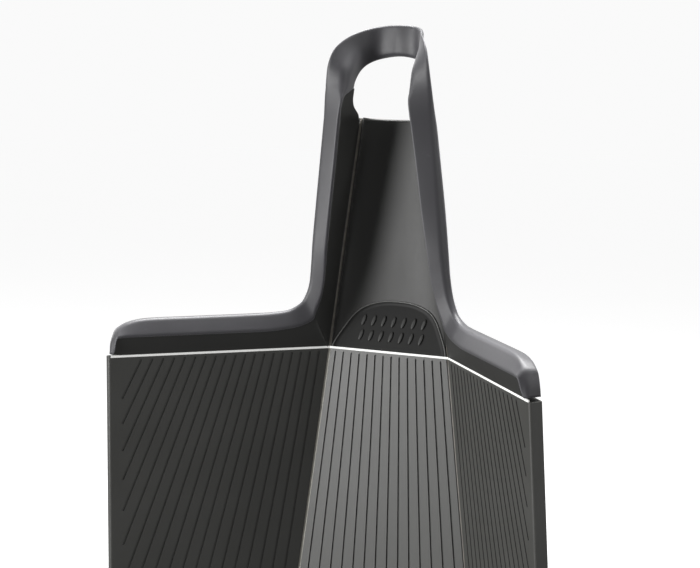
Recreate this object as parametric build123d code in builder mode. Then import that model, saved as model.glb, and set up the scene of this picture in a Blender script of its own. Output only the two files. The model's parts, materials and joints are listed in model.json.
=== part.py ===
"""Folding squeeze-handle chopping board, a moulded board with living hinges and a soft grip.

Millimetres, +Z up towards the hanging loop, cutting face towards -Y, origin at the top
of the hole in the loop. The board stands as it is held when its handle is squeezed.
"""
import os
from math import atan2, cos, degrees, radians, sin, sqrt, tan

from build123d import *

# ---- driving dimensions -------------------------------------------------------------
board_width = 217.0          # across the board, laid flat
board_length = 260.0         # cutting surface, cross hinge to far end
board_thickness = 4.8
centre_half_width = 24.8     # centre panel at the cross hinge
crease_angle = 7.24          # each fold line runs this far off the upright
fold_angle = 46.0            # fold of each wing at rest
far_corner_radius = 14.0
notch_radius = 2.5           # panel corner beside the end of the cross hinge
edge_radius = 1.0            # rounded rim of the panels

hinge_gap = 0.6              # from a fold line to the solid on either side
hinge_bead_radius = 0.3      # thinned web that lies on a fold line
cross_gap = 0.36             # from the cross hinge line to the solid above or below
cross_web_thickness = 0.6

groove_step = 0.985          # angle between neighbouring grooves
first_wing_groove = 1.16     # groove steps from a fold line to a wing's first groove
groove_width = 0.85
groove_depth = 0.45
groove_start = 1.3           # below the cross hinge
groove_margin = 5.0          # kept clear of the outer rim
shortest_groove = 12.0

hole_top = 109.0             # top of the hole above the cross hinge
hole_height = 22.5
crown_height = 11.6          # loop band over the hole
crown_depth = 5.0
crown_grip_depth = 1.6
crown_rise = 2.6             # how far the hole's edge drops from its middle to a fold line
crown_shoulder_drop = 1.8    # the same for the band's outer edge

trough_depth = 7.0
trough_foot_depth = 4.0
trough_full_height = 16.0    # above the cross hinge, where the trough is at full depth
spine_wall = 2.0

badge_height = 18.6          # the badge leans back from the cross hinge to the trough's floor
badge_setback = 0.3
pip_columns = 7              # raised grip pips on the badge
pip_rows = 2
pip_pitch = 4.2
pip_row_pitch = 5.8
pip_length = 4.4
pip_width = 1.5
pip_lean = 78
pip_rise = 0.5
pip_centre = 0.43            # along the badge from its foot

shoulder_height = 14.1
shoulder_ridge_height = 8.5
shoulder_ridge_rise = 2.4
shoulder_corner_radius = 13.0
shoulder_end_inset = 1.2     # ridge to outer rim where the band ends at the cross hinge
shoulder_end_rise = 1.3      # height of the ridge there
shoulder_corner_band = 1.5   # ridge to outer rim around the corner
shoulder_corner_turns = (35.0, 62.0)   # angles around the corner where sections are cut
shoulder_end_fan = 5.3       # outer rim to the point that these sections start from
shoulder_root_reach = 35.7   # fold line to the inner end of the straight shoulder
leg_root = 2.4               # thickness beside the fold line
leg_rim_rise = 3.0           # height of a leg's outer rim over the wing's face
leg_foot_height = 26.0       # above the cross hinge, where the leg leaves the fillet
leg_foot = {"ridge": 8.3, "rise": 5.9, "rim": 12.6, "rim_rise": 2.0, "back": 0.6}
leg_middle = {"ridge": 10.4, "rise": 8.6, "rim": 13.9, "back": 0.4}
leg_top = {"ridge": 12.1, "rise": 10.3, "rim": 15.5, "back": -1.2}

# where the shoulder turns up into the leg: distances out from the fold line, and lifts
# over the straight shoulder's ridge and rim
fillet_start = {"inner": 4.0, "ridge": 13.1, "ridge_lift": 0.8, "rim": 18.5, "rim_lift": 1.2}
fillet_end = {"inner": 1.2, "ridge": 10.2, "ridge_lift": 4.5, "rim": 14.9, "rim_lift": 3.4}
fillet_end.update(rise=0.4, rim_rise=0.8)

# the leg beside the hole, and its bend into the crown: distances out from the fold line,
# drops below the hole's top and the loop's top, heights over the wing's face and depths
# behind it; a negative back lies in front of the face
loop_foot = {"inner": 2.0, "inner_rise": 1.6, "ridge": 12.1, "rise": 10.4, "rim": 15.6, "back": -1.4}
loop_waist = {"inner": 4.9, "inner_rise": 4.0, "ridge": 12.0, "rise": 10.7, "rim": 16.2, "back": -1.6}
loop_side = {"inner": 5.3, "inner_rise": 4.4, "ridge": 10.9, "rise": 9.9, "rim": 16.6, "back": -1.8}
bend_low = {"inner": 3.6, "inner_drop": 6.6, "ridge": 8.9, "ridge_drop": 2.6, "rim": 15.9, "rim_drop": 11.8}
bend_low.update(rises=(3.5, 7.0, 3.3), backs=(-1.4, -1.0))
bend_high = {"inner": 1.7, "inner_drop": 4.4, "ridge": 5.3, "ridge_drop": -0.7, "rim": 10.4, "rim_drop": 5.0}
bend_high.update(rises=(1.7, 3.1, 2.1), backs=(0.4, 2.4))

grip_lip = 1.2               # soft band wraps this far over the ridge
grip_edge_inset = 0.8        # the band's back edge, inside its outer line

foot_radius = 5.0
foot_rise = 1.2
foot_pocket = 0.8
foot_inset = 14.0            # from the far end and the outer rim
foot_fold_clear = 9.0

# ---- worked out ---------------------------------------------------------------------
half_width = board_width / 2
slope = tan(radians(crease_angle))
spine_top = hole_top - hole_height
loop_top = hole_top + crown_height
centre_groove_pairs = int(crease_angle / groove_step)
fan_edge = degrees(atan2(half_width - groove_margin, centre_half_width / slope + groove_start))
wing_groove_count = int((fan_edge - crease_angle) / groove_step)

flat_plane = Plane(origin=(0, 0, -hole_top), x_dir=(1, 0, 0), z_dir=(0, -1, 0))


def crease_x(height):
    """Distance of a fold line from the middle, at a height above the cross hinge."""
    return centre_half_width - height * slope


def folded_plane():
    """The right wing's plane: the flat plane turned about its fold line."""
    line = Axis((0, 0, 0), (-sin(radians(crease_angle)), 0, cos(radians(crease_angle))))
    corner = Vector(centre_half_width, 0, 0)
    return Plane(
        origin=corner - corner.rotate(line, -fold_angle) + Vector(0, 0, -hole_top),
        x_dir=Vector(1, 0, 0).rotate(line, -fold_angle),
        z_dir=Vector(0, -1, 0).rotate(line, -fold_angle),
    )


wing_plane = folded_plane()


def crease_bead(name, low, high):
    """Thinned web on the right fold line, from one height to another."""
    start = flat_plane.from_local_coords((crease_x(low), low, 0))
    end = flat_plane.from_local_coords((crease_x(high), high, 0))
    with BuildPart() as bead:
        with BuildSketch(Plane(origin=start, z_dir=end - start)):
            Circle(hinge_bead_radius)
        extrude(amount=(end - start).length)
    bead.part.label = name
    return bead


def mirrored(piece, name):
    """The left twin of a right-hand piece."""
    with BuildPart() as twin:
        mirror(piece.part, about=Plane.YZ)
    twin.part.label = name
    return twin


def grooves(plane, angles, outer_x):
    """Knife grooves that fan out from the point where the two fold lines would meet."""
    apex = centre_half_width / slope
    with BuildSketch(plane) as fan:
        for angle in angles:
            lean = tan(radians(angle))
            low = -board_length + groove_margin
            if angle > 0:
                low = max(low, apex - (outer_x - groove_margin) / lean)
            length = (-groove_start - low) / cos(radians(angle))
            if length < shortest_groove:
                continue
            middle = (-groove_start + low) / 2
            with Locations(((apex - middle) * lean, middle)):
                SlotOverall(length, groove_width, rotation=90 + angle)
    return fan.sketch


def foot_circles(plane, spots):
    """Outlines of the feet on a panel's back, or inside it."""
    with BuildSketch(plane) as circles:
        with Locations(*spots):
            Circle(foot_radius)
    return circles.sketch


def feet(name, plane, spots):
    """Non-slip feet that fill their pockets and stand out of the back."""
    with BuildPart() as pads:
        extrude(foot_circles(plane.offset(foot_pocket - board_thickness), spots), amount=-foot_pocket - foot_rise)
        outer_faces = [face for face in pads.faces() if plane.to_local_coords(face.center()).Z < low_face]
        fillet([face.edges()[0] for face in outer_faces], foot_rise / 2)
    pads.part.label = name
    return pads


low_face = -board_thickness - foot_rise / 2
wing_foot_spots = [
    (half_width - foot_inset, -foot_inset),
    (half_width - foot_inset, foot_inset - board_length),
    (crease_x(-board_length) + foot_fold_clear, foot_inset - board_length),
]
centre_foot_spots = [(0, -foot_inset), (0, foot_inset - board_length)]

# ---- board panels -------------------------------------------------------------------
with BuildPart() as centre_panel:
    with BuildSketch(flat_plane):
        with BuildLine():
            Polyline(
                (crease_x(-cross_gap) - hinge_gap, -cross_gap),
                (crease_x(-board_length) - hinge_gap, -board_length),
                (hinge_gap - crease_x(-board_length), -board_length),
                (hinge_gap - crease_x(-cross_gap), -cross_gap),
                close=True,
            )
        make_face()
    extrude(amount=-board_thickness)
    far_end = centre_panel.faces().sort_by(Axis.Z)[0]
    fillet(far_end.edges().filter_by(Axis.X), edge_radius)
    half_fan = [(number + 0.5) * groove_step for number in range(centre_groove_pairs)]
    fan = grooves(flat_plane, half_fan + [-angle for angle in half_fan], board_width)
    extrude(fan, amount=-groove_depth, mode=Mode.SUBTRACT)
    pockets = foot_circles(flat_plane.offset(-board_thickness), centre_foot_spots)
    extrude(pockets, amount=foot_pocket, mode=Mode.SUBTRACT)
centre_panel.part.label = "centre_panel"

with BuildPart() as right_panel:
    with BuildSketch(wing_plane) as panel_outline:
        with BuildLine():
            Polyline(
                (crease_x(-cross_gap) + hinge_gap, -cross_gap),
                (half_width, -cross_gap),
                (half_width, -board_length),
                (crease_x(-board_length) + hinge_gap, -board_length),
                close=True,
            )
        make_face()
        outer_corners = panel_outline.vertices().sort_by(Axis.X)[-2:].sort_by(Axis.Y)
        fillet(outer_corners[0], far_corner_radius)
        fillet(outer_corners[1], notch_radius)
    extrude(amount=-board_thickness)
    rim_lines = []
    for edge in right_panel.edges():
        spot = wing_plane.to_local_coords(edge.center())
        on_a_face = abs(spot.Z + board_thickness / 2) > board_thickness / 2 - edge_radius / 2
        if on_a_face and (spot.X > half_width - notch_radius or spot.Y < far_corner_radius / 2 - board_length):
            rim_lines.append(edge)
    fillet(rim_lines, edge_radius)
    wing_fan = [crease_angle + (number + first_wing_groove) * groove_step for number in range(wing_groove_count)]
    fan = grooves(wing_plane, wing_fan, half_width)
    extrude(fan, amount=-groove_depth, mode=Mode.SUBTRACT)
    pockets = foot_circles(wing_plane.offset(-board_thickness), wing_foot_spots)
    extrude(pockets, amount=foot_pocket, mode=Mode.SUBTRACT)
right_panel.part.label = "right_panel"

# ---- handle spine: a tapered thumb trough -------------------------------------------
with BuildPart() as trough:
    for height, depth in (
        (cross_gap, trough_foot_depth),
        (trough_full_height, trough_depth),
        (spine_top, trough_depth),
    ):
        reach = crease_x(height) - hinge_gap
        with BuildSketch(Plane.XY.offset(height - hole_top)):
            with BuildLine():
                Line((-reach, 0), (reach, 0))
                EllipticalCenterArc((0, 0), reach, depth, start_angle=0, arc_size=180)
            make_face()
    loft(ruled=True)

with BuildPart() as handle_spine:
    for height, depth in (
        (cross_gap, trough_foot_depth),
        (trough_full_height, trough_depth),
        (spine_top, trough_depth),
    ):
        reach = crease_x(height) - hinge_gap
        with BuildSketch(Plane.XY.offset(height - hole_top)):
            with BuildLine():
                Polyline((-reach, spine_wall), (-reach, 0), (reach, 0), (reach, spine_wall))
                EllipticalCenterArc((0, spine_wall), reach, depth, start_angle=0, arc_size=180)
            make_face()
    loft(ruled=True)
    add(trough.part, mode=Mode.SUBTRACT)
handle_spine.part.label = "handle_spine"

badge_tilt = atan2(trough_depth - badge_setback, badge_height - cross_gap)
badge_slope_length = sqrt((trough_depth - badge_setback) ** 2 + (badge_height - cross_gap) ** 2)
badge_plane = Plane(
    origin=(0, badge_setback, cross_gap - hole_top),
    x_dir=(1, 0, 0),
    z_dir=(0, -cos(badge_tilt), sin(badge_tilt)),
)
with BuildPart() as thumb_badge:
    with BuildSketch(Plane.YZ):
        with BuildLine():
            Polyline(
                (badge_setback, cross_gap - hole_top),
                (trough_depth, badge_height - hole_top),
                (trough_depth, cross_gap - hole_top),
                close=True,
            )
        make_face()
    extrude(amount=centre_half_width, both=True)
    add(trough.part, mode=Mode.INTERSECT)
    with BuildSketch(badge_plane):
        with Locations((0, badge_slope_length * pip_centre)):
            with GridLocations(pip_pitch, pip_row_pitch, pip_columns, pip_rows):
                SlotOverall(pip_length, pip_width, rotation=pip_lean)
    extrude(amount=pip_rise)
thumb_badge.part.label = "thumb_badge"

# ---- right handle arm and its soft band ---------------------------------------------
# Each station cuts across the arm from its inner edge, over the ridge, to its outer rim.
# inner, ridge and outer are points on the wing's plane; the rest are heights above it.


def beside(offset, height):
    """A point of the wing's plane, this far out from the fold line."""
    return crease_x(height) + offset, height


def leg_station(height, ridge, rise, rim, back, inner=hinge_gap, inner_rise=0.0, rim_rise=leg_rim_rise):
    points = (beside(inner, height), beside(ridge, height), beside(rim, height))
    return points, (inner_rise, rise, rim_rise), (leg_root - inner_rise, back)


corner_x = half_width - shoulder_corner_radius
corner_z = shoulder_height - shoulder_corner_radius
root_x = crease_x(0) + shoulder_root_reach
thick = (board_thickness, board_thickness)

fan_foot = (half_width - shoulder_end_fan, cross_gap)


def corner_station(turn, ridge_height):
    """A section from the foot of the fan to the corner's rim; the ridge stays below a height."""
    rim = Vector(corner_x + shoulder_corner_radius * cos(turn), corner_z + shoulder_corner_radius * sin(turn))
    across = rim - Vector(*fan_foot)
    share = min(1 - shoulder_corner_band / across.length, (ridge_height - cross_gap) / across.Y)
    ridge = Vector(*fan_foot) + across * share
    return (fan_foot, (ridge.X, ridge.Y), (rim.X, rim.Y)), (0.0, shoulder_ridge_rise, 0.0), thick


stations = [
    (
        (fan_foot, (half_width - shoulder_end_inset, cross_gap), (half_width, cross_gap)),
        (0.0, shoulder_end_rise, 0.0),
        thick,
    ),
    corner_station(radians(shoulder_corner_turns[0]), shoulder_ridge_height),
    corner_station(radians(shoulder_corner_turns[1]), shoulder_ridge_height),
    (
        ((corner_x, cross_gap), (corner_x, shoulder_ridge_height), (corner_x, shoulder_height)),
        (0.0, shoulder_ridge_rise, 0.0),
        thick,
    ),
    (
        ((root_x, cross_gap), (root_x, shoulder_ridge_height), (root_x, shoulder_height)),
        (0.0, shoulder_ridge_rise, 0.0),
        thick,
    ),
    (
        (
            beside(fillet_start["inner"], cross_gap),
            beside(fillet_start["ridge"], shoulder_ridge_height + fillet_start["ridge_lift"]),
            beside(fillet_start["rim"], shoulder_height + fillet_start["rim_lift"]),
        ),
        (0.0, shoulder_ridge_rise, 0.0),
        thick,
    ),
    (
        (
            beside(fillet_end["inner"], cross_gap),
            beside(fillet_end["ridge"], shoulder_ridge_height + fillet_end["ridge_lift"]),
            beside(fillet_end["rim"], shoulder_height + fillet_end["rim_lift"]),
        ),
        (0.0, shoulder_ridge_rise + fillet_end["rise"], fillet_end["rim_rise"]),
        (board_thickness, board_thickness - fillet_end["rim_rise"]),
    ),
    leg_station(leg_foot_height, **leg_foot),
    leg_station((leg_foot_height + spine_top) / 2, **leg_middle),
    leg_station(spine_top, **leg_top),
]
crown_low = hole_top - crown_rise
crown_high = loop_top - crown_shoulder_drop
crown_stations = [
    leg_station(spine_top + hinge_gap, **loop_foot),
    leg_station(spine_top + hole_height / 4, **loop_waist),
    leg_station(spine_top + hole_height / 2, **loop_side),
    (
        (
            beside(bend_low["inner"], hole_top - bend_low["inner_drop"]),
            beside(bend_low["ridge"], hole_top - bend_low["ridge_drop"]),
            beside(bend_low["rim"], loop_top - bend_low["rim_drop"]),
        ),
        bend_low["rises"],
        bend_low["backs"],
    ),
    (
        (
            beside(bend_high["inner"], hole_top - bend_high["inner_drop"]),
            beside(bend_high["ridge"], hole_top - bend_high["ridge_drop"]),
            beside(bend_high["rim"], loop_top - bend_high["rim_drop"]),
        ),
        bend_high["rises"],
        bend_high["backs"],
    ),
    (
        tuple(beside(hinge_gap, height) for height in (crown_low, (crown_low + crown_high) / 2, crown_high)),
        (0.0, 0.0, 0.0),
        (crown_depth, crown_depth),
    ),
]


def section_plane(points):
    """A plane across the arm, square to the wing, through the inner and the outer point."""
    inner, _, outer = points
    start = wing_plane.from_local_coords((inner[0], inner[1], 0))
    end = wing_plane.from_local_coords((outer[0], outer[1], 0))
    across = (end - start).normalized()
    return Plane(origin=start, x_dir=across, z_dir=across.cross(wing_plane.z_dir))


def spread(points):
    """Distances of the ridge and the outer rim from the inner point, across the arm."""
    inner, ridge, outer = (Vector(*point) for point in points)
    across = (outer - inner).normalized()
    return (ridge - inner).dot(across), (outer - inner).length


def arm_outline(points, heights, backs):
    ridge, _ = spread(points)
    seat = ridge - grip_lip
    seat_height = heights[0] + (heights[1] - heights[0]) * seat / ridge
    return (0, heights[0]), (seat, seat_height), (seat, -backs[1]), (0, -backs[0])


def arm_section(points, heights, backs):
    with BuildSketch(section_plane(points)) as section:
        with BuildLine():
            Polyline(*arm_outline(points, heights, backs), close=True)
        make_face()
    return section.sketch


def arm_wedge(near, far):
    """The arm between two sections that fan out from the same inner edge."""
    near_corners, far_corners = (
        [section_plane(station[0]).from_local_coords((x, y, 0)) for x, y in arm_outline(*station)]
        for station in (near, far)
    )
    foot_top, near_top, near_low, foot_low = near_corners
    _, far_top, far_low, _ = far_corners
    low = make_face(Polyline(foot_low, near_low, far_low, close=True))
    top = make_face(Polyline(foot_top, near_top, far_top, close=True))
    return loft([low, top], ruled=True)


def grip_section(points, heights, backs):
    ridge, outer = spread(points)
    seat = ridge - grip_lip
    seat_height = heights[0] + (heights[1] - heights[0]) * seat / ridge
    with BuildSketch(section_plane(points)) as section:
        with BuildLine():
            Polyline(
                (seat, seat_height),
                (ridge, heights[1]),
                (outer, heights[2]),
                (outer - grip_edge_inset, -backs[1]),
                (seat, -backs[1]),
                close=True,
            )
        make_face()
    return section.sketch


fan_end = 2   # the last of the sections that share an inner edge
arm_fan = [arm_wedge(*pair) for pair in zip(stations[:fan_end], stations[1 : fan_end + 1])]

with BuildPart() as right_arm:
    loft([arm_section(*station) for station in stations[fan_end:]], ruled=True)
    add(arm_fan)
    loft([arm_section(*station) for station in [stations[-1]] + crown_stations], ruled=True)
right_arm.part.label = "right_arm"

with BuildPart() as right_grip:
    loft([grip_section(*station) for station in stations], ruled=True)
    loft([grip_section(*station) for station in [stations[-1]] + crown_stations], ruled=True)
right_grip.part.label = "right_grip"

# ---- middle of the loop's crown -----------------------------------------------------


def crown_band(near, far):
    """The band over the hole between the two fold lines, from one depth to another."""
    with BuildSketch(flat_plane.offset(-near)) as band_outline:
        reach_low = crease_x(crown_low) - hinge_gap
        reach_high = crease_x(crown_high) - hinge_gap
        with BuildLine():
            ThreePointArc((-reach_low, crown_low), (0, hole_top), (reach_low, crown_low))
            Line((reach_low, crown_low), (reach_high, crown_high))
            ThreePointArc((reach_high, crown_high), (0, loop_top), (-reach_high, crown_high))
            Line((-reach_high, crown_high), (-reach_low, crown_low))
        make_face()
    return extrude(band_outline.sketch, amount=near - far, mode=Mode.PRIVATE)


with BuildPart() as loop_crown:
    add(crown_band(crown_grip_depth, crown_depth))
loop_crown.part.label = "loop_crown"

with BuildPart() as crown_grip:
    add(crown_band(0, crown_grip_depth))
crown_grip.part.label = "crown_grip"

# ---- living hinges ------------------------------------------------------------------
right_board_hinge = crease_bead("right_board_hinge", -board_length, -cross_gap)
right_handle_hinge = crease_bead("right_handle_hinge", cross_gap, spine_top)
right_crown_hinge = crease_bead("right_crown_hinge", crown_low, crown_high)

with BuildPart() as centre_cross_hinge:
    with BuildSketch(flat_plane):
        Rectangle(2 * (crease_x(cross_gap) - hinge_gap), 2 * cross_gap)
    extrude(amount=-cross_web_thickness)
centre_cross_hinge.part.label = "centre_cross_hinge"

with BuildPart() as right_cross_hinge:
    with BuildSketch(wing_plane):
        web_start = crease_x(-cross_gap) + hinge_gap
        web_end = half_width - notch_radius
        with Locations(((web_start + web_end) / 2, 0)):
            Rectangle(web_end - web_start, 2 * cross_gap)
    extrude(amount=-cross_web_thickness)
right_cross_hinge.part.label = "right_cross_hinge"

# ---- feet ---------------------------------------------------------------------------
centre_feet = feet("centre_feet", flat_plane, centre_foot_spots)
right_feet = feet("right_feet", wing_plane, wing_foot_spots)

# ---- left twins and export ----------------------------------------------------------
right_pieces = [
    right_panel,
    right_arm,
    right_grip,
    right_board_hinge,
    right_handle_hinge,
    right_crown_hinge,
    right_cross_hinge,
    right_feet,
]
left_pieces = [mirrored(piece, piece.part.label.replace("right", "left")) for piece in right_pieces]
middle_pieces = [
    centre_panel,
    handle_spine,
    thumb_badge,
    loop_crown,
    crown_grip,
    centre_cross_hinge,
    centre_feet,
]

os.makedirs("parts", exist_ok=True)
for piece in middle_pieces + right_pieces + left_pieces:
    export_step(piece.part, f"parts/{piece.part.label}.step")
    print(piece.part.label, round(piece.part.volume), "mm3")
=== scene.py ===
import json
import math

import bpy
import numpy as np
from mathutils import Matrix, Vector


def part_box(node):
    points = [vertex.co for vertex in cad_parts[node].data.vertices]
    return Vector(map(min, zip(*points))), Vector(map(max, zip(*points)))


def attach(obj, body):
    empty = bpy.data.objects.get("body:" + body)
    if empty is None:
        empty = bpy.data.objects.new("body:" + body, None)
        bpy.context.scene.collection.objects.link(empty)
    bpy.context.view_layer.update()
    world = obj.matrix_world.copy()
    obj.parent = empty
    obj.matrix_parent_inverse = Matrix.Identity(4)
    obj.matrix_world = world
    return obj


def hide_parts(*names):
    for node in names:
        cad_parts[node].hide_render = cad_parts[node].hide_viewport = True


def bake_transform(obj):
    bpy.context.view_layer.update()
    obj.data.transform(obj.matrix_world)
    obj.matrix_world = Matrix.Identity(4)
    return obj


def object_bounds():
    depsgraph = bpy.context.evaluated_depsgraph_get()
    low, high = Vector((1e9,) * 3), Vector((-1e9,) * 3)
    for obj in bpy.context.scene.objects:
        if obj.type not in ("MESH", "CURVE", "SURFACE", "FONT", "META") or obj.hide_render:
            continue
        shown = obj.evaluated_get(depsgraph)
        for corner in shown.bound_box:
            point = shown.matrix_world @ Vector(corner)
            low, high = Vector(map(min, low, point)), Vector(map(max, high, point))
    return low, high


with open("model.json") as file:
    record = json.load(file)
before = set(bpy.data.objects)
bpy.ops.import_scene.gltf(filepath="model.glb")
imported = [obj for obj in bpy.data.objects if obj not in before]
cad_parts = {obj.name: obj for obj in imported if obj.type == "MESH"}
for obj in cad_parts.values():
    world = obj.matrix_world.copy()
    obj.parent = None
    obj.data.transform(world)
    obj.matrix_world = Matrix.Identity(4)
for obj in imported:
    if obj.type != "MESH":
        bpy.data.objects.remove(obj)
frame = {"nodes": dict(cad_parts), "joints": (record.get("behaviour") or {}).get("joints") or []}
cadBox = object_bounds()

# Sizes are in millimetres on the board laid flat: across, up from the cross hinge,
# and height over the cutting face. foldFlat turns such points into folded metres.
mm = 0.001
joints = {joint["name"]: joint for joint in frame["joints"]}
rightFold = joints["right_fold"]
foldAngle = math.radians(-rightFold["range_deg"][0])
hingeFoot = np.array(rightFold["pos_m"]) / mm
hingeAxis = np.array(rightFold["axis"]) / np.linalg.norm(rightFold["axis"])
foldLean = -hingeAxis[0] / hingeAxis[2]

spineLow, spineHigh = (np.array(corner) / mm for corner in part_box("handle_spine"))
panelLow, panelHigh = (np.array(corner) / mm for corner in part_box("centre_panel"))
crossZ = hingeFoot[2]
spineTop = spineHigh[2] - crossZ
boardLength = crossZ - panelLow[2]
boardThickness = panelHigh[1] - panelLow[1]
crossGap = crossZ - panelHigh[2]
hingeGap = hingeFoot[0] - crossGap * foldLean - spineHigh[0]


def foldLineX(height):
    return hingeFoot[0] - height * foldLean


def smoothStep(value):
    value = np.clip(value, 0, 1)
    return value * value * (3 - 2 * value)


def foldFlat(points, zone=None):
    # the right wing turns about its fold line; inside the zone the turn comes in gradually
    points = np.asarray(points, float)
    placed = np.stack([points[..., 0], -points[..., 2], points[..., 1] + crossZ], -1)
    if zone is None:
        share = np.ones(points.shape[:-1])
    else:
        beside = (points[..., 0] - foldLineX(points[..., 1])) / math.hypot(1, foldLean)
        share = smoothStep((beside - zone[0]) / (zone[1] - zone[0]))
    turn = (foldAngle * share)[..., None]
    arm = placed - hingeFoot
    along = (arm @ hingeAxis)[..., None] * hingeAxis
    turned = arm * np.cos(turn) + np.cross(hingeAxis, arm) * np.sin(turn) + along * (1 - np.cos(turn))
    return (turned + hingeFoot) * mm


def mirrorX(points):
    return points * np.array([-1, 1, 1])


def addMesh(name, points, faces, material, body=None, flipped=False):
    mesh = bpy.data.meshes.new(name)
    if flipped:
        faces = [face[::-1] for face in faces]
    mesh.from_pydata([tuple(point) for point in points], [], faces)
    mesh.materials.append(material)
    mesh.polygons.foreach_set("use_smooth", [True] * len(mesh.polygons))
    mesh.update()
    piece = bpy.data.objects.new(name, mesh)
    bpy.context.scene.collection.objects.link(piece)
    if body:
        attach(piece, body)
    return piece


def tubeFaces(rows, columns, capped=(True, True)):
    faces = []
    for row in range(rows - 1):
        for column in range(columns):
            beside = (column + 1) % columns
            here, there = row * columns, (row + 1) * columns
            faces.append((here + column, there + column, there + beside, here + beside))
    if capped[0]:
        faces.append(tuple(range(columns)))
    if capped[1]:
        faces.append(tuple((rows - 1) * columns + column for column in reversed(range(columns))))
    return faces


def roundOutline(corners, radii, steps):
    # corners: rows x corners x 2. Each corner becomes a short curve of steps + 1 points.
    corners = np.asarray(corners, float)
    before, after = np.roll(corners, 1, 1), np.roll(corners, -1, 1)
    radii = np.broadcast_to(np.asarray(radii, float), corners.shape[:2])
    curve = []
    for side in (before, after):
        edge = side - corners
        length = np.linalg.norm(edge, axis=-1) + 1e-9
        reach = np.minimum(radii, 0.47 * length)
        curve.append(corners + edge / length[..., None] * reach[..., None])
    points = []
    for step in range(steps + 1):
        t = step / steps
        points.append((1 - t) ** 2 * curve[0] + 2 * t * (1 - t) * corners + t * t * curve[1])
    return np.stack(points, 2).reshape(corners.shape[0], -1, 2)


def smoothRows(rows, perSpan, measure):
    # a smooth run through the given rows, spaced by how far the measured columns move
    rows = np.asarray(rows, float)
    steps = np.linalg.norm(np.diff(rows[:, measure], axis=0), axis=1) + 1e-6
    places = np.concatenate([[0], np.cumsum(steps)])
    slopes = np.zeros_like(rows)
    slopes[1:-1] = (rows[2:] - rows[:-2]) / (places[2:] - places[:-2])[:, None]
    slopes[0] = (rows[1] - rows[0]) / steps[0]
    slopes[-1] = (rows[-1] - rows[-2]) / steps[-1]
    out = []
    for span in range(len(rows) - 1):
        count = max(3, int(math.ceil(steps[span] / perSpan)))
        for number in range(count):
            t = number / count
            width = steps[span]
            out.append(
                (1 + 2 * t) * (1 - t) ** 2 * rows[span]
                + t * (1 - t) ** 2 * width * slopes[span]
                + t * t * (3 - 2 * t) * rows[span + 1]
                - t * t * (1 - t) * width * slopes[span + 1]
            )
    out.append(rows[-1])
    return np.array(out)


print("frame loaded: fold", round(math.degrees(foldAngle), 1), "degrees")


# materials: Wire wraps a node socket, Finish makes the nodes of one material
class Wire:
    def __init__(self, tree, socket):
        self.tree, self.socket = tree, socket

    def maths(self, operation, *values):
        return self.tree.add("ShaderNodeMath", {"operation": operation}, dict(enumerate(values)))

    def __add__(self, other):
        return self.maths("ADD", self, other)

    def __rsub__(self, other):
        return self.maths("SUBTRACT", other, self)

    def __mul__(self, other):
        return self.maths("MULTIPLY", self, other)

    def clamped(self, low, high):
        return self.tree.add(
            "ShaderNodeMapRange",
            {"clamp": True},
            {"Value": self, "From Min": low, "From Max": high},
        )


class Finish:
    def __init__(self, name):
        self.material = bpy.data.materials.new(name)
        self.material.use_nodes = True
        self.nodes = self.material.node_tree.nodes
        self.links = self.material.node_tree.links
        self.shader = self.nodes["Principled BSDF"]
        self.place = self.add("ShaderNodeTexCoord", {}, {}, "Object")

    def add(self, kind, settings, sockets, output=0):
        node = self.nodes.new(kind)
        for key, value in settings.items():
            setattr(node, key, value)
        for key, value in sockets.items():
            self.feed(node.inputs[key], value)
        return Wire(self, node.outputs[output])

    def feed(self, socket, value):
        if isinstance(value, Wire):
            self.links.new(value.socket, socket)
        elif isinstance(value, tuple) and len(value) == 3 and len(socket.default_value) == 4:
            socket.default_value = (*value, 1)
        else:
            socket.default_value = value

    def noise(self, scale, detail=3, roughness=0.55, stretch=None):
        place = self.place
        if stretch:
            place = self.add("ShaderNodeMapping", {}, {"Vector": self.place, "Scale": stretch})
        sockets = {"Vector": place, "Scale": scale, "Detail": detail, "Roughness": roughness}
        return self.add("ShaderNodeTexNoise", {}, sockets)

    def blendColour(self, share, first, second):
        node = self.nodes.new("ShaderNodeMix")
        node.data_type = "RGBA"
        self.feed(node.inputs[0], share)
        self.feed(node.inputs[6], first)
        self.feed(node.inputs[7], second)
        return Wire(self, node.outputs[2])

    def edges(self, reach):
        # how sharply the surface turns: a bevelled normal against the true one
        bevel = self.add("ShaderNodeBevel", {"samples": 4}, {"Radius": reach})
        true = self.add("ShaderNodeNewGeometry", {}, {}, "Normal")
        dot = {"operation": "DOT_PRODUCT"}
        facing = self.add("ShaderNodeVectorMath", dot, {0: bevel, 1: true}, "Value")
        return (1 - facing).clamped(0.0, 0.12)

    def bump(self, height, strength, distance):
        sockets = {"Height": height, "Strength": strength, "Distance": distance}
        self.feed(self.shader.inputs["Normal"], self.add("ShaderNodeBump", {}, sockets))

    def fill(self, **sockets):
        for key, value in sockets.items():
            self.feed(self.shader.inputs[key.replace("_", " ")], value)
        return self.material


boardLook = {
    "colour": (0.030, 0.030, 0.0285),
    "paler": (0.034, 0.034, 0.032),
    "scuff": (0.070, 0.070, 0.067),
    "grainScale": 2600,
    "patchScale": 38,
    "fineScale": 420,
    "scratchScale": 90,
    "scratchStretch": (14, 1, 1),
    "edgeReach": 0.0006,     # metres from an edge
    "edgeShare": 0.6,
    "roughness": (0.46, 0.57),
    "scratchRough": 0.06,
    "ior": 1.49,
    "bump": 0.55,
    "grainDepth": 0.00003,
}


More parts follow.
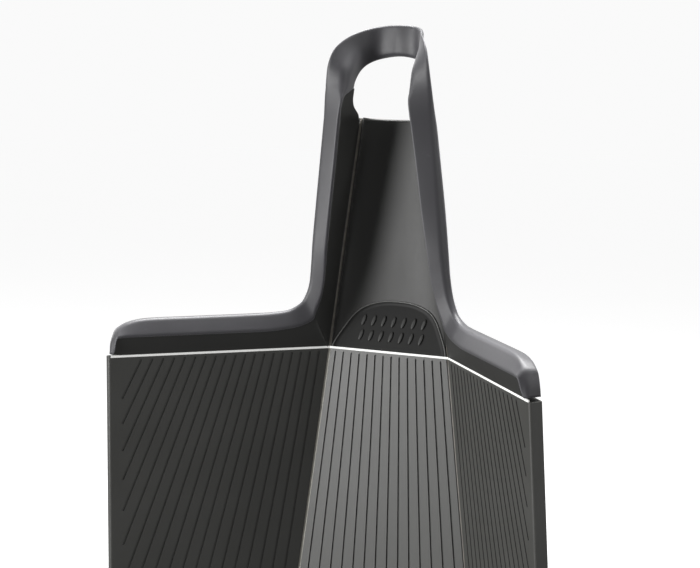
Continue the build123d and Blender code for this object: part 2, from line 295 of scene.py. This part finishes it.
def boardPlastic(name, **changes):
    look = {**boardLook, **changes}
    finish = Finish(name)
    patches = finish.noise(look["patchScale"], 4)
    fine = finish.noise(look["fineScale"], 2)
    grain = finish.noise(look["grainScale"], 2)
    scratches = finish.noise(look["scratchScale"], 5, 0.7, stretch=look["scratchStretch"])
    edgeMask = finish.edges(look["edgeReach"])
    base = finish.blendColour(patches.clamped(0.35, 0.65), look["colour"], look["paler"])
    edgeTinted = finish.blendColour(edgeMask * fine.clamped(0.42, 0.6) * look["edgeShare"], base, look["scuff"])
    low, high = look["roughness"]
    rough = patches * (high - low) * 0.6 + fine * (high - low) * 0.4 + low
    rough = rough + scratches.clamped(0.60, 0.72) * look["scratchRough"]
    relief = grain * 0.7 + fine * 0.3 + scratches.clamped(0.62, 0.75) * 0.25
    finish.bump(relief, look["bump"], look["grainDepth"])
    return finish.fill(Base_Color=edgeTinted, Roughness=rough, IOR=look["ior"])


gripLook = {
    "colour": (0.044, 0.043, 0.048),
    "paler": (0.053, 0.052, 0.058),
    # edge: pale colour painted along the band's rims and ridges as a highlight
    "edge": (0.24, 0.24, 0.26),
    "dust": (0.16, 0.16, 0.17),
    "patchScale": 30,
    "fineScale": 700,
    "dustScale": 160,
    "edgeReach": 0.0009,     # metres from an edge
    "edgeShare": 0.55,
    "dustShare": 0.15,
    "roughness": (0.43, 0.52),
    "ior": 1.47,
    "sheen": 0.25,
    "sheenRoughness": 0.5,
    "bump": 0.25,
    "grainDepth": 0.00004,
}


def softGrip():
    look = gripLook
    finish = Finish("softGrip")
    patches = finish.noise(look["patchScale"], 3)
    fine = finish.noise(look["fineScale"], 3)
    dust = finish.noise(look["dustScale"], 6, 0.7)
    edgeMask = finish.edges(look["edgeReach"])
    base = finish.blendColour(patches.clamped(0.35, 0.65), look["colour"], look["paler"])
    # pale lines along the band's rims: painted highlight standing in for the glint on the rounded edges
    edgeTinted = finish.blendColour(edgeMask * look["edgeShare"], base, look["edge"])
    dusty = dust.clamped(0.62, 0.72) * look["dustShare"]
    colour = finish.blendColour(dusty, edgeTinted, look["dust"])
    low, high = look["roughness"]
    rough = fine * (high - low) + low
    finish.bump(fine * 0.6 + patches * 0.4, look["bump"], look["grainDepth"])
    return finish.fill(
        Base_Color=colour,
        Roughness=rough,
        IOR=look["ior"],
        Sheen_Weight=look["sheen"],
        Sheen_Roughness=look["sheenRoughness"],
    )


webLook = {"streakScale": 260, "roughness": 0.4, "streakRough": 0.15, "bump": 0.3, "grainDepth": 0.00005}


def hingeWeb(name, colour, darker, paintedGlow=0.0):
    look = webLook
    finish = Finish(name)
    streaks = finish.noise(look["streakScale"], 4, 0.65)
    shade = finish.blendColour(streaks.clamped(0.3, 0.7), colour, darker)
    finish.bump(streaks, look["bump"], look["grainDepth"])
    rough = streaks * look["streakRough"] + look["roughness"]
    # paintedGlow makes the web glow as painted light; the web is no lamp
    return finish.fill(Base_Color=shade, Roughness=rough, Emission_Color=colour, Emission_Strength=paintedGlow)


footLook = {
    "colour": (0.030, 0.030, 0.031),
    "paler": (0.050, 0.050, 0.052),
    "speckleScale": 900,
    "roughness": 0.62,
    "speckleRough": 0.12,
    "bump": 0.4,
    "grainDepth": 0.00006,
}


def footRubber():
    look = footLook
    finish = Finish("footRubber")
    speckle = finish.noise(look["speckleScale"], 3)
    shade = finish.blendColour(speckle.clamped(0.4, 0.65), look["colour"], look["paler"])
    finish.bump(speckle, look["bump"], look["grainDepth"])
    rough = speckle * look["speckleRough"] + look["roughness"]
    return finish.fill(Base_Color=shade, Roughness=rough)


plastic = boardPlastic("boardPlastic")
panelPlastic = boardPlastic(
    "panelPlastic",
    colour=(0.063, 0.063, 0.0585),
    paler=(0.071, 0.071, 0.0665),
    roughness=(0.35, 0.46),
)
# the badge lip's pale colour is a painted highlight along the arc's edge
paintedLipHighlight = boardPlastic(
    "paintedLipHighlight",
    colour=(0.11, 0.11, 0.105),
    paler=(0.14, 0.14, 0.135),
    roughness=(0.26, 0.36),
)
# the badge face's near-black colour, darker than the board plastic, is painted shade
badgePaintedShade = boardPlastic(
    "badgePaintedShade",
    colour=(0.008, 0.008, 0.0075),
    paler=(0.011, 0.011, 0.010),
    roughness=(0.52, 0.62),
    ior=1.36,
)
grip = softGrip()
# the left board crease's pale warm web colour is painted highlight, where the light from the left
# catches the crease
paintedHighlightWeb = hingeWeb("paintedHighlightWeb", (0.56, 0.545, 0.48), (0.36, 0.35, 0.31))
# foldWeb: the creases' beige-grey, lighter than the board, is a fainter painted highlight for light the
# thin webs catch
foldWeb = hingeWeb("foldWeb", (0.20, 0.185, 0.155), (0.11, 0.10, 0.09))
# the cross web's near-white is partly stress-whitened plastic and partly painted highlight; its glow is
# painted light
crossWeb = hingeWeb("crossWeb", (0.93, 0.93, 0.91), (0.82, 0.82, 0.80), 0.30)
rubber = footRubber()
print("materials made")

# the panels and feet keep their CAD shape
keptShapes = {
    panelPlastic: ("centre_panel", "left_panel", "right_panel"),
    rubber: ("centre_feet", "left_feet", "right_feet"),
}
for material, names in keptShapes.items():
    for name in names:
        frame["nodes"][name].data.materials.clear()
        frame["nodes"][name].data.materials.append(material)
print("panels and feet dressed")

# handle arm and soft band, both built along the same listed rows:
# inner x, z; ridge x, z; outer x, z; heights of the three over the face; depths behind it
# at the inner and the outer edge; where the soft band's inner edge is, from 0 at the inner
# point to 1 just below the ridge
armBand = {
    "footLift": 0.1,         # the shoulder's foot over the cross gap
    "root": 2.4,             # depth of a leg's inner edge, less as that edge rises
    "rootTaper": 1.15,
    "lip": 0.10,             # the band starts this share of the slope below the ridge
    "step": 0.30,            # it stands this far over the plastic
    "ridgeRound": 0.75,
    "crownRound": 3.2,
    "outerRound": 1.5,
    "backRound": 1.2,
    "outerInset": 0.8,
    "seatRound": (0.35, 1.4),      # along the legs, and more than that over the crown
    "seatBackRound": (0.3, 1.2),
    "crownFrom": 92,         # height where the rounding starts to grow
    "crownOver": 8,
    "legSide": 35,           # a leg's outer x is below this, a shoulder's is not
    "armTop": 90,            # the plastic arm reaches at least this high
    "armTuck": 0.05,         # it runs on under the band by this share of the slope
    "armLeast": 0.08,
    "armBackLift": 0.1,
    "armRounds": (0.25, 0.3, 0.3, 0.6),
    "cornerSteps": 6,
    "rowSpacing": 1.6,
    "blendZone": (-9.3, 8.5),
}


def legRow(z, ridge, outer, rise, outerRise, outerBack, inner=0.7, innerRise=0.0, seat=1.0):
    line = foldLineX(z)
    innerBack = armBand["root"] - armBand["rootTaper"] * innerRise
    return (
        line + inner, z, line + ridge, z, line + outer, z,
        innerRise, rise, outerRise, innerBack, outerBack, seat,
    )


thick = boardThickness
bandFoot = crossGap + armBand["footLift"]
shoulderRows = [
    (103.2, bandFoot, 106.9, bandFoot + 0.5, 108.0, bandFoot + 0.65, 0, 0.7, 0.0, thick, thick, 1),
    (103.2, bandFoot, 106.2, 3.8, 107.55, 5.0, 0, 1.6, 0.0, thick, thick, 1),
    (103.2, bandFoot, 105.7, 7.3, 106.2, 8.7, 0, 2.2, 0.0, thick, thick, 1),
    (103.2, bandFoot, 105.0, 8.0, 105.5, 10.0, 0, 2.4, 0.0, thick, thick, 1),
    (103.0, bandFoot, 103.9, 8.15, 104.3, 11.0, 0, 2.4, 0.0, thick, thick, 1),
    (100.8, bandFoot, 101.2, 8.3, 101.5, 12.5, 0, 2.4, 0.0, thick, thick, 1),
    (96.6, bandFoot, 96.8, 8.3, 97.0, 13.6, 0, 2.4, 0.0, thick, thick, 1),
    (92.0, bandFoot, 92.0, 8.3, 92.0, 13.95, 0, 2.4, 0.0, thick, thick, 1),
    (72.0, bandFoot, 72.0, 8.3, 72.0, 14.0, 0, 2.4, 0.0, thick, thick, 1),
    (52.0, bandFoot, 52.0, 8.3, 52.0, 14.1, 0, 2.4, 0.0, thick, 4.6, 1),
    (40.0, bandFoot, 44.3, 8.5, 45.0, 14.4, 0, 2.4, 0.1, thick, 4.0, 1),
    (33.0, bandFoot, 39.4, 9.1, 40.3, 15.2, 0, 2.5, 0.3, thick, 3.1, 1),
    (26.2, bandFoot, 34.6, 11.4, 36.3, 17.8, 0, 2.9, 0.9, 4.6, 1.8, 1),
    (foldLineX(1) + 0.8, 1.0, 31.8, 15.6, 34.4, 21.4, 0, 3.6, 1.5, 4.2, 1.0, 1),
]
legRows = [
    (23.6, 13.0, 30.5, 20.6, 33.5, 25.4, 0, 4.8, 2.1, 2.6, 0.5, 1),
    (22.0, 25.5, 29.6, 29.0, 33.2, 32.0, 0, 6.3, 2.7, 2.4, 0.0, 1),
    legRow(40.0, 9.3, 13.2, 7.4, 3.0, -0.1),
    legRow(56.0, 10.4, 14.0, 8.6, 3.0, -0.3),
    legRow(72.0, 11.2, 14.8, 9.4, 3.1, -0.9),
    legRow(84.0, 12.0, 15.4, 10.2, 3.2, -1.4),
    legRow(87.6, 12.2, 15.6, 10.5, 3.2, -1.6, inner=1.7, innerRise=1.3),
    legRow(90.5, 12.2, 15.9, 10.6, 3.3, -1.8, inner=4.3, innerRise=3.3),
    legRow(93.2, 12.0, 16.2, 10.6, 3.4, -2.0, inner=5.4, innerRise=4.2, seat=0.96),
    legRow(95.6, 11.8, 16.4, 10.4, 3.4, -2.2, inner=5.5, innerRise=4.3, seat=0.76),
    legRow(97.4, 11.5, 16.5, 10.2, 3.5, -2.3, inner=5.5, innerRise=4.3, seat=0.02),
    legRow(99.4, 11.1, 16.7, 9.8, 3.5, -2.5, inner=5.3, innerRise=4.2, seat=0.0),
]
crownRows = [
    (15.7, 102.4, 21.8, 104.8, 28.2, 106.6, 3.4, 8.3, 3.8, -1.6, -2.9, 0),
    (13.5, 104.7, 18.2, 109.2, 25.6, 112.2, 2.3, 5.8, 3.5, -0.4, -2.7, 0),
    (10.8, 106.5, 13.8, 111.8, 20.0, 116.4, 1.3, 3.3, 2.7, 1.2, -2.5, 0),
    (7.4, 107.9, 9.0, 113.4, 12.8, 118.9, 0.6, 1.9, 2.0, 2.8, -0.5, 0),
    (3.8, 108.7, 4.5, 114.4, 6.3, 120.2, 0.3, 0.9, 0.9, 4.0, 1.5, 0),
    (0.0, 109.0, 0.0, 114.8, 0.0, 120.6, 0.2, 0.4, 0.4, 4.4, 2.6, 0),
    (-3.8, 108.7, -4.5, 114.4, -6.3, 120.2, 0.3, 0.9, 0.9, 4.0, 1.5, 0),
]
# the last crown row lies past the middle, so that the run crosses it level; it is cut off
ridgeColumns, ridgeZ, outerX, seatColumn = slice(2, 6), 3, 4, 11
armRows = smoothRows(shoulderRows + legRows + crownRows, armBand["rowSpacing"], ridgeColumns)
armRows = armRows[armRows[:, 0] >= -1e-6]
armRows = armRows[: int(np.argmin(np.abs(armRows[:, outerX]))) + 1]
armRows[:, seatColumn] = np.clip(armRows[:, seatColumn], 0, 1)


def sectionPoints(rows, corners, radii):
    # corners are (across, height), where across is the distance from the inner point
    outline = roundOutline(corners, radii, armBand["cornerSteps"])
    inner, outer = rows[:, 0:2], rows[:, 4:6]
    across = outer - inner
    across /= np.linalg.norm(across, axis=1)[:, None]
    flat = inner[:, None, :] + across[:, None, :] * outline[..., 0:1]
    return np.concatenate([flat, outline[..., 1:2]], -1)


def sectionMeasures(rows):
    # how far the ridge and the outer edge are from the inner point
    inner, ridge, outer = rows[:, 0:2], rows[:, 2:4], rows[:, 4:6]
    across = outer - inner
    width = np.linalg.norm(across, axis=1)
    ridgeAt = np.sum((ridge - inner) * across, axis=1) / width
    return ridgeAt, width


def seatPlace(rows, ridgeAt, width, share):
    # a place on the slope between inner point and ridge: distance, height, depth behind
    innerRise, rise, _, innerBack, outerBack, _ = rows[:, 6:12].T
    seatAt = ridgeAt * share
    seatRise = innerRise + (rise - innerRise) * share
    backAt = innerBack + (outerBack - innerBack) * seatAt / width
    return seatAt, seatRise, backAt


def bandCorners(rows, lift):
    ridgeAt, width = sectionMeasures(rows)
    innerRise, rise, outerRise, _, outerBack, seat = rows[:, 6:12].T
    share = np.clip(seat * (1 - armBand["lip"]), 0, 1)
    seatAt, seatRise, backAt = seatPlace(rows, ridgeAt, width, share)
    slope = np.stack([-(rise - innerRise), ridgeAt], 1)
    slope /= np.linalg.norm(slope, axis=1)[:, None]
    corners = [
        (seatAt + slope[:, 0] * lift, seatRise + slope[:, 1] * lift),
        (ridgeAt, rise + lift),
        (width, outerRise),
        (width - armBand["outerInset"], -outerBack),
        (seatAt, -backAt),
    ]
    return np.stack([np.stack(corner, 1) for corner in corners], 1)


def armCorners(rows):
    ridgeAt, width = sectionMeasures(rows)
    innerRise, _, _, innerBack, _, seat = rows[:, 6:12].T
    share = np.clip(seat * (1 - armBand["lip"]) + armBand["armTuck"], armBand["armLeast"], 1)
    seatAt, seatRise, backAt = seatPlace(rows, ridgeAt, width, share)
    zero = np.zeros(len(rows))
    corners = [
        (zero, innerRise),
        (seatAt, seatRise),
        (seatAt, -backAt + armBand["armBackLift"]),
        (zero, -innerBack),
    ]
    return np.stack([np.stack(corner, 1) for corner in corners], 1)


def bandRadii(rows):
    risen = smoothStep((rows[:, ridgeZ] - armBand["crownFrom"]) / armBand["crownOver"])
    crowned = risen * (rows[:, outerX] < armBand["legSide"])
    same = np.ones(len(rows))
    seatRound, seatCrown = armBand["seatRound"]
    backRound, backCrown = armBand["seatBackRound"]
    return np.stack(
        [
            same * seatRound + crowned * seatCrown,
            armBand["ridgeRound"] + (armBand["crownRound"] - armBand["ridgeRound"]) * crowned,
            same * armBand["outerRound"],
            same * armBand["backRound"],
            same * backRound + crowned * backCrown,
        ],
        1,
    )


def buildSide(side, flip):
    body = side + "_wing"
    flat = sectionPoints(armRows, bandCorners(armRows, armBand["step"]), bandRadii(armRows))
    placed = foldFlat(flat, armBand["blendZone"])
    points = placed.reshape(-1, 3)
    if flip:
        points = mirrorX(points)
    faces = tubeFaces(*flat.shape[:2], capped=(True, False))
    band = addMesh(side + "GripBand", points, faces, grip, flipped=flip)
    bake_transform(band)
    if flip:
        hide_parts("left_grip")
    else:
        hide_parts("right_grip", "crown_grip", "loop_crown")

    rows = armRows[(armRows[:, seatColumn] > 0.001) | (armRows[:, ridgeZ] < armBand["armTop"])]
    flat = sectionPoints(rows, armCorners(rows), armBand["armRounds"])
    points = foldFlat(flat).reshape(-1, 3)
    if flip:
        points = mirrorX(points)
    faces = tubeFaces(*flat.shape[:2])
    arm = addMesh(side + "Arm", points, faces, plastic, body, flip)
    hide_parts(side + "_arm")


for side in ("right", "left"):
    buildSide(side, side == "left")
print("arms and grip bands built")

# thumb trough between the arms
trough = {
    "depth": 7.0,
    "footDepth": 4.0,
    "fullAt": 16.0,
    "wall": 2.0,
    "power": 2.4,            # 2 is an ellipse; more is squarer
    "rimWall": 0.35,         # share of the wall left at the rim
    "topDip": 0.5,           # its top edge sags this much in the middle
    "dipPower": 6,
    "topRound": 0.9,
    "topSteps": 5,
    "columns": 48,
    "rows": 60,
}


def troughDepth(height):
    share = smoothStep(height / trough["fullAt"])
    return trough["footDepth"] + (trough["depth"] - trough["footDepth"]) * share


def buildTrough():
    angles = np.linspace(math.pi, 0, trough["columns"] + 1)
    across = np.sign(np.cos(angles)) * np.abs(np.cos(angles)) ** (2 / trough["power"])
    sag = np.sin(angles) ** (2 / trough["power"])
    heights = np.linspace(crossGap, spineTop, trough["rows"] + 1)
    rows = []
    for height in heights:
        share = (height - crossGap) / (spineTop - crossGap)
        dipped = height - trough["topDip"] * sag * share ** trough["dipPower"]
        half = foldLineX(dipped) - hingeGap
        depth = troughDepth(height) * sag
        front = np.stack([across * half, dipped, -depth], 1)
        wall = trough["wall"] * (trough["rimWall"] + (1 - trough["rimWall"]) * sag)
        behind = front - np.array([0, 0, 1]) * wall[:, None]
        rows.append(np.concatenate([front, behind[::-1]]))
    rows = np.array(rows)
    # the top edge rounds over: extra rows that close in towards the wall's middle
    last = rows[-1]
    count = trough["columns"] + 1
    middle = (last[:count] + last[count:][::-1]) / 2
    middle = np.concatenate([middle, middle[::-1]])
    extra = []
    for turn in np.linspace(0, math.pi / 2, trough["topSteps"] + 1)[1:]:
        ring = middle + (last - middle) * math.cos(turn)
        ring[:, 1] += trough["topRound"] * (math.sin(turn) - 1)
        extra.append(ring)
    last = last.copy()
    last[:, 1] -= trough["topRound"]
    rows[-1] = last
    rows = np.concatenate([rows, np.array(extra)])
    points = np.stack([rows[..., 0], -rows[..., 2], rows[..., 1] + crossZ], -1).reshape(-1, 3) * mm
    faces = tubeFaces(len(rows), 2 * count)
    piece = addMesh("thumbTrough", points, faces, plastic, "core")
    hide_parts("handle_spine")


buildTrough()
print("trough built")

# leaning badge at the trough's foot, with raised pips
badge = {
    "height": 18.6,
    "setback": 0.3,
    "edgeSteps": 96,
    "edgeLip": 0.45,
    # share of the way from foot to edge, and lift as a share of the lip
    "rings": (
        (0.0, 0), (0.5, 0), (0.90, 0), (0.968, 0), (0.973, 0.6), (0.979, 1), (0.991, 1), (1.0, 0.4),
    ),
    "lipSpans": (4, 7),      # the spans between rings that carry the lip's pale colour, a painted highlight
    "skirt": 1.8,            # the edge runs back into the trough's wall
    "pipColumns": 7,
    "pipRows": 2,
    "pipPitch": 4.2,
    "pipRowPitch": 5.8,
    "pipSize": (2.2, 0.75),
    "pipLean": math.radians(78),
    "pipRise": 0.5,
    "pipCentre": 0.43,       # along the badge from its foot
    "pipSteps": 20,
    "pipLayers": ((1.0, -0.1), (1.0, 0.5), (0.88, 0.85), (0.6, 1.0), (0.02, 1.0)),  # size, rise
}
badgeLean = (trough["depth"] - badge["setback"]) / (badge["height"] - crossGap)


def badgeEdge(count):
    # where the leaning face meets the trough, walked from the left end to the right end;
    # each height is found by halving
    edge = []
    for step in range(count + 1):
        across = -math.cos(math.pi * step / count)
        low, high = crossGap, badge["height"] + 2
        for _ in range(30):
            height = (low + high) / 2
            half = foldLineX(height) - hingeGap
            face = badge["setback"] + (height - crossGap) * badgeLean
            share = abs(across) ** trough["power"]
            floor = troughDepth(height) * max(0, 1 - share) ** (1 / trough["power"])
            if face < floor:
                low = height
            else:
                high = height
        edge.append((across * (foldLineX(low) - hingeGap), low))
    return np.array(edge)


def onBadge(x, z, proud=0.0):
    tilt = math.atan(badgeLean)
    depth = badge["setback"] + (z - crossGap) * badgeLean
    return (x, depth - proud * math.cos(tilt), z + crossZ + proud * math.sin(tilt))


def buildBadgeFace():
    edge = badgeEdge(badge["edgeSteps"])
    middle = np.array([0, crossGap + 0.01])
    lifts = [(share, badge["edgeLip"] * lips) for share, lips in badge["rings"]]
    rings = []
    for share, proud in lifts + [(1.0, -badge["skirt"])]:
        rings.append([onBadge(*(middle + (spot - middle) * share), proud) for spot in edge])
    points = [np.array(point) * mm for ring in rings for point in ring]
    count = len(edge)
    faces = []
    for ring in range(len(rings) - 1):
        for number in range(count - 1):
            here, there = ring * count + number, (ring + 1) * count + number
            faces.append((here, here + 1, there + 1, there))
    piece = addMesh("thumbBadge", points, faces, badgePaintedShade, "core")
    piece.data.materials.append(paintedLipHighlight)
    first, last = badge["lipSpans"]
    for face in piece.data.polygons:
        face.material_index = int(first <= face.index // (count - 1) < last)
    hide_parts("thumb_badge")


def buildPips():
    pips, pipFaces = [], []
    around, layers = badge["pipSteps"], badge["pipLayers"]
    lean = badge["pipLean"]
    slope = math.hypot(1, badgeLean)
    for row in range(badge["pipRows"]):
        for column in range(badge["pipColumns"]):
            centreX = (column - (badge["pipColumns"] - 1) / 2) * badge["pipPitch"]
            fromFoot = (badge["height"] - crossGap) * badge["pipCentre"]
            rowLift = (row - (badge["pipRows"] - 1) / 2) * badge["pipRowPitch"] / slope
            centreZ = crossGap + fromFoot + rowLift
            base = len(pips)
            for size, rise in layers:
                for number in range(around):
                    angle = 2 * math.pi * number / around
                    a = math.cos(angle) * badge["pipSize"][0] * size
                    b = math.sin(angle) * badge["pipSize"][1] * size
                    x = a * math.cos(lean) - b * math.sin(lean)
                    z = (a * math.sin(lean) + b * math.cos(lean)) / slope
                    spot = onBadge(centreX + x, centreZ + z, rise * badge["pipRise"])
                    pips.append(np.array(spot) * mm)
            for layer in range(len(layers) - 1):
                for number in range(around):
                    beside = (number + 1) % around
                    here, there = base + layer * around, base + (layer + 1) * around
                    pipFaces.append((here + number, here + beside, there + beside, there + number))
    addMesh("badgePips", pips, pipFaces, plastic, "core")


buildBadgeFace()
buildPips()
print("badge built")

# living hinge webs on the fold lines
web = {
    "half": 0.75,
    "edge": 0.30,            # below the face at the web's two edges, and in its middle
    "middle": 0.22,
    "thickness": 0.42,
    "columns": 13,
    "rowEvery": 4,
    "endInset": 0.3,
    "paleFrom": 3,           # columns of plain plastic beside the pale line
    "zone": (-0.6, 0.6),
}


def bendAcross(piece, side, zone):
    # the ends of a zone square to the half-folded joint are worked out but not used; the piece's
    # transform is baked
    half = foldAngle / 2
    square = np.array([math.cos(half), -math.sin(half), foldLean * math.cos(half)])
    square /= np.linalg.norm(square)
    sign = np.array([-1 if side == "left" else 1, 1, 1])
    foot = hingeFoot * sign
    start, end = (foot + square * sign * reach * math.cos(half) for reach in zone)
    tuple(start * mm)
    tuple(end * mm)
    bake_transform(piece)


def buildFoldWeb(side, name, nodes, low, high, pale):
    flip = side == "left"
    columns = web["columns"]
    across = np.linspace(-1, 1, columns)
    rows = []
    for height in np.linspace(low, high, max(2, int(abs(high - low) / web["rowEvery"]))):
        x = foldLineX(height) + across * web["half"]
        drop = web["edge"] + (web["middle"] - web["edge"]) * (1 - across ** 2)
        top = np.stack([x, 0 * x + height, -drop], 1)
        under = top[::-1] - np.array([0, 0, web["thickness"]])
        rows.append(np.concatenate([top, under]))
    placed = foldFlat(np.array(rows), web["zone"]).reshape(-1, 3)
    if flip:
        placed = mirrorX(placed)
    piece = addMesh(name, placed, tubeFaces(len(rows), 2 * columns), plastic, flipped=flip)
    piece.data.materials.append(pale)
    for face in piece.data.polygons:
        column = face.index % (2 * columns)
        face.material_index = int(web["paleFrom"] <= column < columns - 1 - web["paleFrom"])
    bendAcross(piece, side, web["zone"])
    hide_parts(*nodes)


for side in ("right", "left"):
    # the left board crease gets the brighter painted highlight, the right one the fainter foldWeb
    pale = paintedHighlightWeb if side == "left" else foldWeb
    boardNodes = [side + "_board_hinge"]
    handleNodes = [side + "_handle_hinge", side + "_crown_hinge"]
    boardFoot, handleTop = -boardLength + web["endInset"], spineTop - web["endInset"]
    buildFoldWeb(side, side + "BoardWeb", boardNodes, boardFoot, -crossGap, pale)
    buildFoldWeb(side, side + "HandleWeb", handleNodes, crossGap, handleTop, foldWeb)

# pale strip between board and handle
crossStrip = {
    "half": 0.40,
    "drop": 0.10,
    "thickness": 0.5,
    "end": 107.4,
    "bend": 0.9,             # closely set stops this far to either side of the fold line
    "bendClear": 1.2,        # the next stops
    "stops": (12, 13, 30),
    "zone": (-0.6, 0.6),
}


def buildCrossWeb(side):
    flip = side == "left"
    foot = foldLineX(0)
    bend, clear = crossStrip["bend"], crossStrip["bendClear"]
    inside, over, outside = crossStrip["stops"]
    stops = np.concatenate(
        [
            np.linspace(0, foot - clear, inside),
            np.linspace(foot - bend, foot + bend, over),
            np.linspace(foot + clear, crossStrip["end"], outside),
        ]
    )
    half, drop = crossStrip["half"], crossStrip["drop"]
    under = -drop - crossStrip["thickness"]
    rows = [[(x, half, -drop), (x, -half, -drop), (x, -half, under), (x, half, under)] for x in stops]
    placed = foldFlat(np.array(rows), crossStrip["zone"]).reshape(-1, 3)
    if flip:
        placed = mirrorX(placed)
    faces = tubeFaces(len(rows), 4, capped=(False, True))
    piece = addMesh(side + "CrossWeb", placed, faces, crossWeb, flipped=flip)
    piece.data.polygons.foreach_set("use_smooth", [False] * len(piece.data.polygons))
    bendAcross(piece, side, crossStrip["zone"])
    if flip:
        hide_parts("left_cross_hinge")
    else:
        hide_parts("right_cross_hinge", "centre_cross_hinge")


for side in ("right", "left"):
    buildCrossWeb(side)
print("hinge webs built")

# floor, light and camera
studio = {
    "floorDrop": 0.0005,
    "floorSize": 400.0,
    "floorColours": ((0.34, 0.34, 0.34), (0.37, 0.37, 0.37)),
    "floorRoughness": 0.9,
    "floorGlow": 0.855,
    "worldSeen": 0.955,      # strength behind the object, and strength that lights it
    "worldFill": 0.24,
    "eye": (303.4, -566.2, 78.4),
    "aim": (-14.4, -4.2, 24.8),
    "roll": 1.6,
    "lens": 89.8,
    "sensor": 36,
    "clip": (0.01, 50),
}
lamps = {
    # name: place, aim, width, height, power, all in metres and watts
    "keyPanel": ((-0.90, -1.19, -0.18), (0.0, 0.0, -0.10), 0.50, 0.9, 26.8),
    "sidePanel": ((-1.25, -0.75, 0.10), (0.0, 0.0, -0.10), 0.5, 1.0, 4.0),
    "topPanel": ((0.0, 0.3, 1.10), (0.0, 0.0, 0.0), 1.2, 0.5, 60.0),
    "fillPanel": ((1.4, -0.4, 0.10), (0.0, 0.0, -0.10), 0.6, 1.0, 3.5),
}


def buildFloor():
    mesh = bpy.data.meshes.new("floor")
    half = studio["floorSize"] / 2
    z = cadBox[0][2] - studio["floorDrop"]
    corners = [(-half, -half, z), (half, -half, z), (half, half, z), (-half, half, z)]
    mesh.from_pydata(corners, [], [(0, 1, 2, 3)])
    floor = bpy.data.objects.new("floor", mesh)
    bpy.context.scene.collection.objects.link(floor)
    finish = Finish("paleFloor")
    mesh.materials.append(
        finish.fill(
            Base_Color=finish.blendColour(finish.noise(3.0, 3), *studio["floorColours"]),
            Roughness=studio["floorRoughness"],
            Emission_Color=(1.0, 1.0, 1.0),
            Emission_Strength=studio["floorGlow"],
        )
    )
    floor.visible_diffuse = False
    floor.visible_glossy = False


def buildWorld():
    world = bpy.data.worlds.new("studio")
    bpy.context.scene.world = world
    world.use_nodes = True
    nodes, links = world.node_tree.nodes, world.node_tree.links
    back = nodes["Background"]
    back.inputs["Color"].default_value = (1, 1, 1, 1)
    path = nodes.new("ShaderNodeLightPath")
    pick = nodes.new("ShaderNodeMix")
    pick.inputs[2].default_value = studio["worldFill"]
    pick.inputs[3].default_value = studio["worldSeen"]
    links.new(path.outputs["Is Camera Ray"], pick.inputs[0])
    links.new(pick.outputs[0], back.inputs["Strength"])


def buildLamps():
    for name, (place, aim, width, height, power) in lamps.items():
        lamp = bpy.data.lights.new(name, "AREA")
        lamp.shape = "RECTANGLE"
        lamp.size, lamp.size_y, lamp.energy = width, height, power
        holder = bpy.data.objects.new(name, lamp)
        bpy.context.scene.collection.objects.link(holder)
        holder.location = place
        holder.rotation_euler = (Vector(aim) - Vector(place)).to_track_quat("-Z", "Y").to_euler()


def buildCamera():
    lens = bpy.data.cameras.new("camera")
    lens.lens = studio["lens"]
    lens.sensor_width = studio["sensor"]
    lens.clip_start, lens.clip_end = studio["clip"]
    camera = bpy.data.objects.new("camera", lens)
    bpy.context.scene.collection.objects.link(camera)
    cross = Vector((0, 0, crossZ))
    eye = (Vector(studio["eye"]) + cross) * mm
    aim = (Vector(studio["aim"]) + cross) * mm
    turn = (aim - eye).to_track_quat("-Z", "Y").to_matrix().to_4x4()
    roll = Matrix.Rotation(math.radians(studio["roll"]), 4, "Z")
    camera.matrix_world = Matrix.Translation(eye) @ turn @ roll
    bpy.context.scene.camera = camera
    bpy.context.scene.view_settings.view_transform = "Standard"


buildFloor()
buildWorld()
buildLamps()
buildCamera()
print("studio built")
